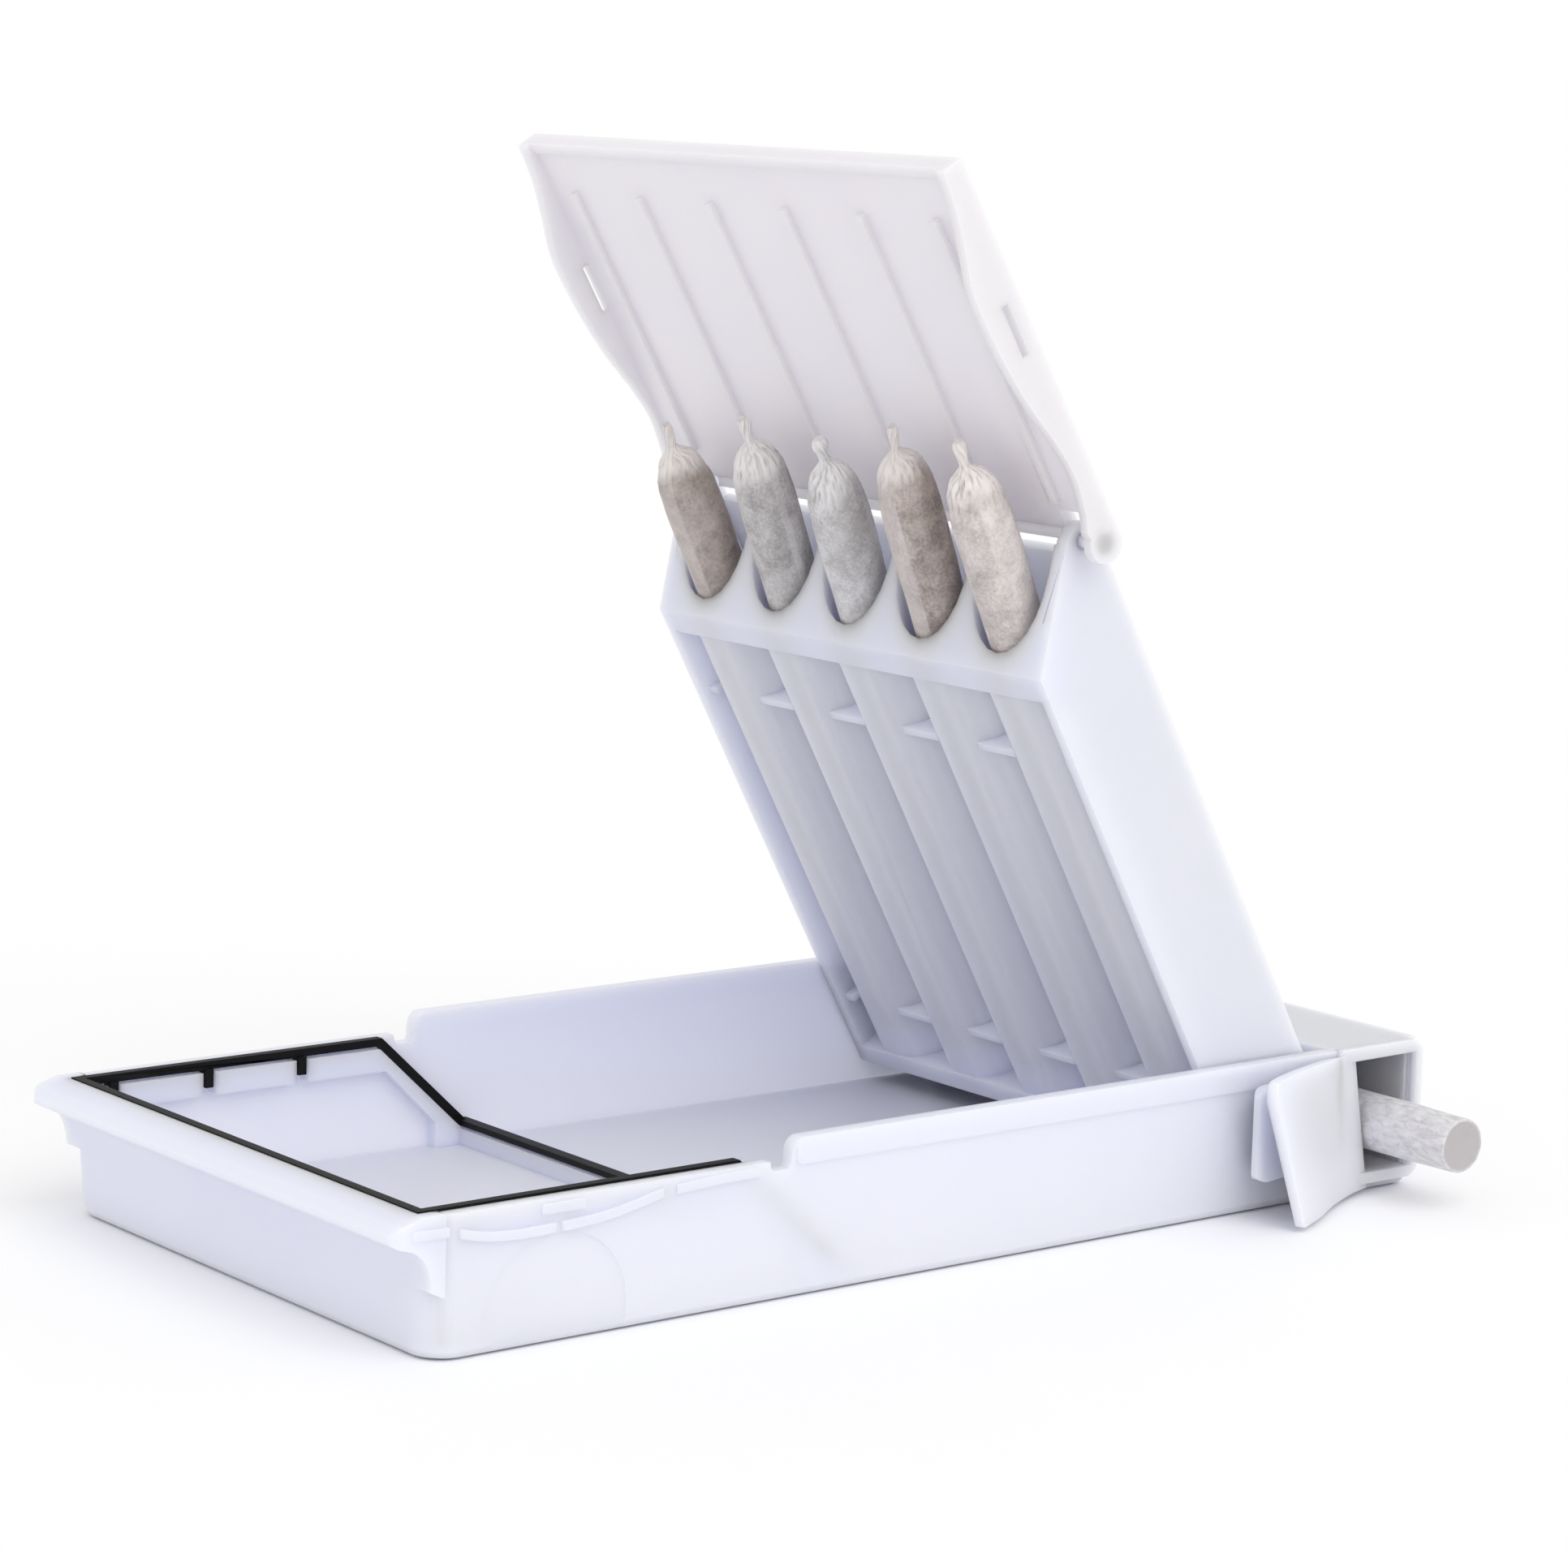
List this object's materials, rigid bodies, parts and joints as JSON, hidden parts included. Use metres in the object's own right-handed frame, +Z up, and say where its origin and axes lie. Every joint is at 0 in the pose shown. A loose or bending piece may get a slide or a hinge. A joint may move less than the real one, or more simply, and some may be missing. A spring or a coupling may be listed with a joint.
{
  "type": "pocket stick case with rolling tray",
  "caption": "Shallow white plastic tray with a gasketed compartment, a fold-up channel cartridge holding rolled sticks, a flip lid and an end drawer.",
  "frame": {"origin": "centre of the tray's flat bottom face", "axes": "+X along the tray from the compartment end to the drawer end, +Y towards the far long wall, +Z up"},
  "size_m": [0.123, 0.0746, 0.1024],
  "materials": {
    "white_plastic": "satin",
    "lid_plastic": "satin",
    "gasket_rubber": "matte",
    "rolled_paper": "matte",
    "card_tip": "matte",
    "grey_stick": "matte"
  },
  "bodies": {
    "tray": {"tray_base": "white_plastic", "compartment_gasket": "gasket_rubber"},
    "cartridge": {"cartridge_body": "white_plastic", "cartridge_back_plate": "white_plastic", "cartridge_hinge_pin_near": "white_plastic", "cartridge_hinge_pin_far": "white_plastic", "lid_hinge_pin_near": "white_plastic", "lid_hinge_pin_far": "white_plastic"},
    "lid": {"lid": "lid_plastic"},
    "stick_1": {"filled_stick_1": "rolled_paper", "stick_1_card_tip": "card_tip"},
    "stick_2": {"filled_stick_2": "rolled_paper", "stick_2_card_tip": "card_tip"},
    "stick_3": {"filled_stick_3": "rolled_paper", "stick_3_card_tip": "card_tip"},
    "stick_4": {"filled_stick_4": "rolled_paper", "stick_4_card_tip": "card_tip"},
    "stick_5": {"filled_stick_5": "rolled_paper", "stick_5_card_tip": "card_tip"},
    "drawer": {"drawer_sleeve": "white_plastic", "drawer_front": "white_plastic", "latch_leaf": "white_plastic"},
    "spare": {"spare_stick": "grey_stick"}
  },
  "joints": [
    {"name": "cartridge_hinge", "type": "hinge", "parent": "tray", "child": "cartridge", "pos_m": [0.04147, 0, 0.01035], "axis": [0, 1, 0], "range_deg": [-59.6, 30]},
    {"name": "lid_hinge", "type": "hinge", "parent": "cartridge", "child": "lid", "pos_m": [0.01277, 0, 0.06727], "axis": [0, 1, 0], "range_deg": [0, 95]},
    {"name": "stick_1_slide", "type": "slide", "parent": "cartridge", "child": "stick_1", "axis": [-0.4924, 0, 0.8704], "range_m": [0, 0.07]},
    {"name": "stick_2_slide", "type": "slide", "parent": "cartridge", "child": "stick_2", "axis": [-0.4924, 0, 0.8704], "range_m": [0, 0.07]},
    {"name": "stick_3_slide", "type": "slide", "parent": "cartridge", "child": "stick_3", "axis": [-0.4924, 0, 0.8704], "range_m": [0, 0.07]},
    {"name": "stick_4_slide", "type": "slide", "parent": "cartridge", "child": "stick_4", "axis": [-0.4924, 0, 0.8704], "range_m": [0, 0.07]},
    {"name": "stick_5_slide", "type": "slide", "parent": "cartridge", "child": "stick_5", "axis": [-0.4924, 0, 0.8704], "range_m": [0, 0.07]},
    {"name": "drawer_slide", "type": "slide", "parent": "tray", "child": "drawer", "axis": [0, -1, 0], "range_m": [0, 0.05]},
    {"name": "spare_stick_slide", "type": "slide", "parent": "drawer", "child": "spare", "axis": [0, -1, 0], "range_m": [0, 0.07]}
  ]
}
